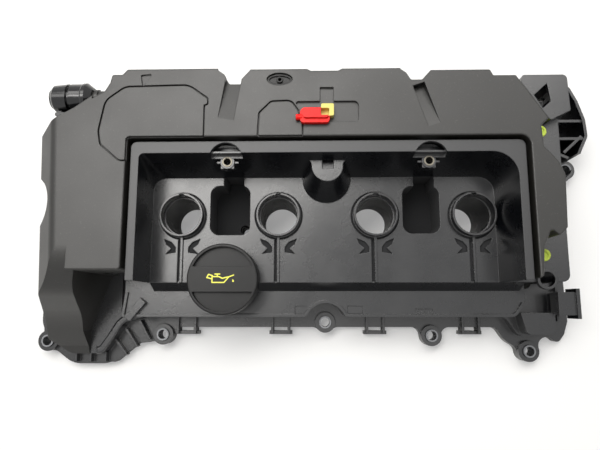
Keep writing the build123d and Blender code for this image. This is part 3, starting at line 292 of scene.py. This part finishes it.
class VALVECOVER_OT_mouldings(bpy.types.Operator):
    """Dress the lower moulding, the shroud and the black plastic pieces"""
    bl_idname = "valvecover.mouldings"
    bl_label = "Dress Mouldings"

    def execute(self, context):
        plastics = context.scene.valvecover_plastics
        edge = plastics.edge_radius
        # Nylon moulded in a spark-eroded tool: a soft, slightly warm sheen over the whole shell.
        shroud = moulded_plastic("satin_moulded_nylon", plastics.shroud, 0.44, 0.03,
                                 plastics.shroud_grain, 0.03 * MM, dust=0.12, edge=edge)
        # Glass-filled nylon from a smoother tool: flat faces shine, upright walls stay black,
        # and what the tool's electrode cut deepest is left rough and dull.
        body = moulded_plastic("glass_filled_moulded_nylon", plastics.body, 0.28, 0.04,
                               plastics.body_grain, 0.05 * MM, dust=0.03, edge=edge, gloss=0.68,
                               rough_boxes=DULL_BOXES)
        # A finely grained nylon, duller than the floor round it.
        cap = moulded_plastic("grained_moulded_nylon", plastics.cap, 0.4, 0.04,
                              plastics.shroud_grain, 0.04 * MM, dust=0.06, edge=edge, gloss=0.24)
        # Nylon from a polished tool: black with small sharp highlights.
        glossy = moulded_plastic("polished_moulded_nylon", plastics.connector, 0.16, 0.05,
                                 plastics.body_grain, 0.01 * MM, edge=0.5 * MM)
        dress(["top_shroud", "corner_panel", "small_panel"], shroud)
        dress(["cover_body", "separator_baffle", "valve_plate"], body)
        dress(["oil_filler_cap", "vent_cap"], cap)
        dress(["breather_connector", "connector_end_cap", "connector_latch"], glossy)
        return {"FINISHED"}


class VALVECOVER_OT_coloured_plastics(bpy.types.Operator):
    """Dress the red clip, the yellow collar and the pale plugs"""
    bl_idname = "valvecover.coloured_plastics"
    bl_label = "Dress Coloured Plastics"

    def execute(self, context):
        plastics = context.scene.valvecover_plastics
        coloured = (
            ("red_moulded_acetal", ["red_clip"], plastics.clip),
            ("yellow_moulded_acetal", ["yellow_collar"], plastics.collar),
            ("moulded_polyethylene", ["rear_end_plug", "front_end_plug"], plastics.plug),
        )
        # Self-coloured acetal and polyethylene: even colour with a waxy sheen.
        for name, nodes, base in coloured:
            dress(nodes, moulded_plastic(name, base, 0.38, 0.05, 1.2 * MM, 0.02 * MM,
                                         edge=0.4 * MM, gloss=0.2))
        return {"FINISHED"}


class VALVECOVER_OT_metals(bpy.types.Operator):
    """Dress the sleeves and the inserts"""
    bl_idname = "valvecover.metals"
    bl_label = "Dress Metals"

    def execute(self, context):
        metals = context.scene.valvecover_metals
        # Zinc over turned steel: a dull grey ring with a bright rim.
        dress(["bolt_sleeves"], turned_metal("zinc_plated_turned_steel", metals.steel, 0.42,
                                             0.9 * MM, 0.02 * MM))
        # Turned and dulled by heat: a dark ring with a brown cast.
        dress(["bracket_inserts"], turned_metal("tarnished_turned_brass", metals.insert, 0.45,
                                                0.6 * MM, 0.03 * MM))
        return {"FINISHED"}


class VALVECOVER_OT_spring(bpy.types.Operator):
    """Put a drawn-steel copy of the valve's spring in place of the CAD spring"""
    bl_idname = "valvecover.spring"
    bl_label = "Wind Spring"

    def execute(self, context):
        metals = context.scene.valvecover_metals
        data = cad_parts["valve_spring"].data.copy()
        data.materials.clear()
        # Drawn wire: smooth and grey.
        data.materials.append(turned_metal("drawn_spring_steel", metals.spring, 0.3,
                                           0.5 * MM, 0.01 * MM))
        spring = bpy.data.objects.new("coiled_spring", data)
        context.scene.collection.objects.link(spring)
        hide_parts("valve_spring")
        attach(spring, "cover")
        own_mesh(spring)
        return {"FINISHED"}


class VALVECOVER_OT_rubbers(bpy.types.Operator):
    """Dress the seals and the membrane"""
    bl_idname = "valvecover.rubbers"
    bl_label = "Dress Rubbers"

    def execute(self, context):
        metals = context.scene.valvecover_metals
        endings = ("_seal", "_gasket", "_ring")
        seals = [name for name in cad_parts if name.endswith(endings) or "_seal_" in name]
        # Seals: black and matt, with a faint grey bloom.
        dress(seals, moulded_rubber("moulded_acrylic_rubber", metals.rubber))
        # The membrane: a warm brown that tells it from the seals.
        dress(["valve_membrane"], moulded_rubber("moulded_fluorosilicone", metals.membrane))
        return {"FINISHED"}


# The oil can in millimetres from its centre: each stroke is a run of points, the drop is filled
CAN_STROKES = (
    [(-7.5, -0.3), (-11.0, 0.7), (-9.7, 3.3), (-6.5, 2.2)],
    [(-6.7, 1.4), (-6.7, -3.4), (3.2, -3.4), (7.2, 1.3), (11.0, 2.6)],
    [(-6.7, 1.4), (-0.9, 1.4), (1.6, 0.0), (7.2, 1.3)],
    [(-4.4, 3.5), (-0.4, 3.5)],
    [(-2.4, 3.4), (-2.4, 1.4)],
)
DROP_CENTRE = (10.7, -2.3)
DROP_RADIUS = 0.75
DROP_TIP = (10.2, -0.5)
# How deep the ink reaches into the bar, and how much higher each stroke is than the one before,
# so that no two tops share a plane
INK_DEPTH = 0.05
STROKE_STEP = 0.002


def add_outline(mesh, points, low, high):
    """Add a flat pad with the given outline between two heights."""
    bottom = [mesh.verts.new((x, y, low)) for x, y in points]
    top = [mesh.verts.new((x, y, high)) for x, y in points]
    mesh.faces.new(list(reversed(bottom)))
    mesh.faces.new(top)
    for i in range(len(points)):
        j = (i + 1) % len(points)
        mesh.faces.new([bottom[i], bottom[j], top[j], top[i]])


def capsule(start, end, radius, steps=8):
    """The outline of a round-ended stroke."""
    angle = math.atan2(end[1] - start[1], end[0] - start[0])
    points = []
    for centre, turn in ((end, angle - math.pi / 2), (start, angle + math.pi / 2)):
        for i in range(steps + 1):
            a = turn + math.pi * i / steps
            points.append((centre[0] + radius * math.cos(a), centre[1] + radius * math.sin(a)))
    return points


class VALVECOVER_OT_symbol(bpy.types.Operator):
    """Print the oil can on the cap's grip bar"""
    bl_idname = "valvecover.symbol"
    bl_label = "Print Symbol"

    def execute(self, context):
        settings = context.scene.valvecover_symbol
        radius = settings.stroke / 2 / MM
        mesh = bmesh.new()
        height = settings.height / MM
        level = 0.0
        for stroke in CAN_STROKES:
            for start, end in zip(stroke, stroke[1:]):
                level += STROKE_STEP
                add_outline(mesh, capsule(start, end, radius), -INK_DEPTH, height + level)
        x, y = DROP_CENTRE
        drop = [(x + DROP_RADIUS * math.cos(a), y + DROP_RADIUS * math.sin(a))
                for a in (math.radians(d) for d in range(-230, 51, 20))]
        add_outline(mesh, [*drop, DROP_TIP], -INK_DEPTH, height)
        mesh.transform(Matrix.Translation(settings.centre) @ Matrix.Scale(MM, 4))
        data = bpy.data.meshes.new("oil_symbol")
        mesh.to_mesh(data)
        mesh.free()
        symbol = bpy.data.objects.new("oil_symbol", data)
        context.scene.collection.objects.link(symbol)
        ink = context.scene.valvecover_plastics.ink
        # Pad-printed ink: flat yellow with a slight waxy gloss.
        data.materials.append(moulded_plastic("pad_printed_ink", ink, 0.45, 0.08, 0.8 * MM,
                                              0.02 * MM, edge=0.1 * MM))
        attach(symbol, "oil_cap")
        return {"FINISHED"}


# Each lamp's name, place, size and power setting: metres in the part's own frame
LAMPS = (
    ("window_lamp", (-0.33, 0.4, 1.4), (1.0, 0.5), "window_power"),
    ("back_lamp", (-0.08, 0.95, 1.4), (2.25, 0.6), "back_power"),
    ("side_lamp", (-1.06, 0.32, 1.4), (0.46, 0.64), "side_power"),
    ("far_lamp", (0.72, 0.45, 1.4), (0.7, 0.4), "far_power"),
    ("well_lamp", (0.0, -0.42, 1.4), (1.0, 0.4), "well_power"),
)
LAMP_TINT = "#FFFDFA"
CARD_REACH = 3.0
CARD_DROP = 0.2 * MM
SENSOR_WIDTH = 36
NEAREST_SEEN = 0.01
WHITE = (1, 1, 1, 1)


def lay_card(scene, settings):
    """Lay the white card that the cover stands on."""
    mesh = bmesh.new()
    bmesh.ops.create_grid(mesh, x_segments=8, y_segments=8, size=CARD_REACH)
    data = bpy.data.meshes.new("floor")
    mesh.to_mesh(data)
    mesh.free()
    floor = bpy.data.objects.new("floor", data)
    floor.location.z = -CARD_DROP
    scene.collection.objects.link(floor)
    material, tree, shader, _ = start_material("matt_white_card")
    shader.inputs["Base Color"].default_value = (*settings.floor, 1)
    shader.inputs["Roughness"].default_value = CARD_ROUGHNESS
    # The camera sees part of the card as plain white, and the rest keeps the shadow.
    rays = node(tree, "ShaderNodeLightPath")
    share = node(tree, "ShaderNodeMath", {
        0: rays.outputs["Is Camera Ray"], 1: settings.floor_lift}, operation="MULTIPLY")
    plain = node(tree, "ShaderNodeEmission", {"Color": WHITE, "Strength": 1.0})
    card = node(tree, "ShaderNodeMixShader", {
        0: share.outputs[0], 1: shader.outputs[0], 2: plain.outputs[0]})
    tree.links.new(card.outputs[0], tree.nodes["Material Output"].inputs["Surface"])
    data.materials.append(material)


def paint_room(scene, settings):
    """Make the room white to the camera, to gloss and to glass, and dim to dull surfaces."""
    world = bpy.data.worlds.new("studio")
    scene.world = world
    world.use_nodes = True
    tree = world.node_tree
    tree.nodes.clear()
    rays = node(tree, "ShaderNodeLightPath")
    mirrored = node(tree, "ShaderNodeMath", {
        0: rays.outputs["Is Glossy Ray"], 1: rays.outputs["Is Transmission Ray"]},
        operation="MAXIMUM")
    seen = node(tree, "ShaderNodeMath", {
        0: rays.outputs["Is Camera Ray"], 1: mirrored.outputs[0]}, operation="MAXIMUM")
    dim = node(tree, "ShaderNodeBackground", {"Color": WHITE, "Strength": settings.sky})
    white = node(tree, "ShaderNodeBackground", {"Color": WHITE, "Strength": 1.0})
    sky = node(tree, "ShaderNodeMixShader", {
        0: seen.outputs[0], 1: dim.outputs[0], 2: white.outputs[0]})
    node(tree, "ShaderNodeOutputWorld", {"Surface": sky.outputs[0]})


def add_lamp(scene, name, place, size, watts):
    """Add a rectangular lamp that faces the cover."""
    lamp = bpy.data.lights.new(name, "AREA")
    lamp.shape = "RECTANGLE"
    lamp.size, lamp.size_y = size
    lamp.energy = watts
    lamp.color = linear(LAMP_TINT)
    held = bpy.data.objects.new(name, lamp)
    held.location = place
    held.rotation_euler = (-Vector(place)).to_track_quat("-Z", "Y").to_euler()
    scene.collection.objects.link(held)


def add_camera(scene, settings):
    """Add the camera that sees the cover as the photograph does."""
    lens = bpy.data.cameras.new("photo_camera")
    lens.lens = settings.lens
    lens.sensor_width = SENSOR_WIDTH
    lens.clip_start = NEAREST_SEEN
    camera = bpy.data.objects.new("photo_camera", lens)
    camera.location = settings.eye
    camera.rotation_euler = settings.tilt
    scene.collection.objects.link(camera)
    scene.camera = camera


class VALVECOVER_OT_stage(bpy.types.Operator):
    """Add the floor, the lamps, the world and the camera"""
    bl_idname = "valvecover.stage"
    bl_label = "Add Stage"

    def execute(self, context):
        scene = context.scene
        settings = scene.valvecover_stage
        lay_card(scene, settings)
        paint_room(scene, settings)
        for name, place, size, power_setting in LAMPS:
            add_lamp(scene, name, place, size, getattr(settings, power_setting))
        add_camera(scene, settings)
        scene.view_settings.view_transform = "Standard"
        return {"FINISHED"}


class VALVECOVER_PT_panel(bpy.types.Panel):
    """Lists the steps and settings"""
    bl_label = "Valve Cover"
    bl_idname = "VALVECOVER_PT_panel"
    bl_space_type = "VIEW_3D"
    bl_region_type = "UI"
    bl_category = "Valve Cover"

    def draw(self, context):
        layout = self.layout
        for operator in OPERATORS:
            layout.operator(operator.bl_idname)
        for group in SETTINGS:
            settings = getattr(context.scene, group)
            box = layout.box()
            for name in settings.bl_rna.properties.keys():
                if name not in {"rna_type", "name"}:
                    box.prop(settings, name)


SETTINGS = {
    "valvecover_plastics": PlasticSettings,
    "valvecover_metals": MetalSettings,
    "valvecover_symbol": SymbolSettings,
    "valvecover_stage": StageSettings,
}
OPERATORS = (
    VALVECOVER_OT_mouldings, VALVECOVER_OT_coloured_plastics, VALVECOVER_OT_metals,
    VALVECOVER_OT_spring, VALVECOVER_OT_rubbers, VALVECOVER_OT_symbol, VALVECOVER_OT_stage,
)


def register():
    """Make the settings, the steps and the panel known."""
    for group in (*SETTINGS.values(), *OPERATORS, VALVECOVER_PT_panel):
        bpy.utils.register_class(group)
    for name, group in SETTINGS.items():
        setattr(bpy.types.Scene, name, bpy.props.PointerProperty(type=group))


def unregister():
    """Take them away again."""
    for name in SETTINGS:
        delattr(bpy.types.Scene, name)
    for group in reversed((*SETTINGS.values(), *OPERATORS, VALVECOVER_PT_panel)):
        bpy.utils.unregister_class(group)


def main():
    """Run every step."""
    register()
    bpy.ops.valvecover.mouldings()
    bpy.ops.valvecover.coloured_plastics()
    bpy.ops.valvecover.metals()
    bpy.ops.valvecover.spring()
    bpy.ops.valvecover.rubbers()
    bpy.ops.valvecover.symbol()
    bpy.ops.valvecover.stage()


if __name__ == "__main__":
    main()
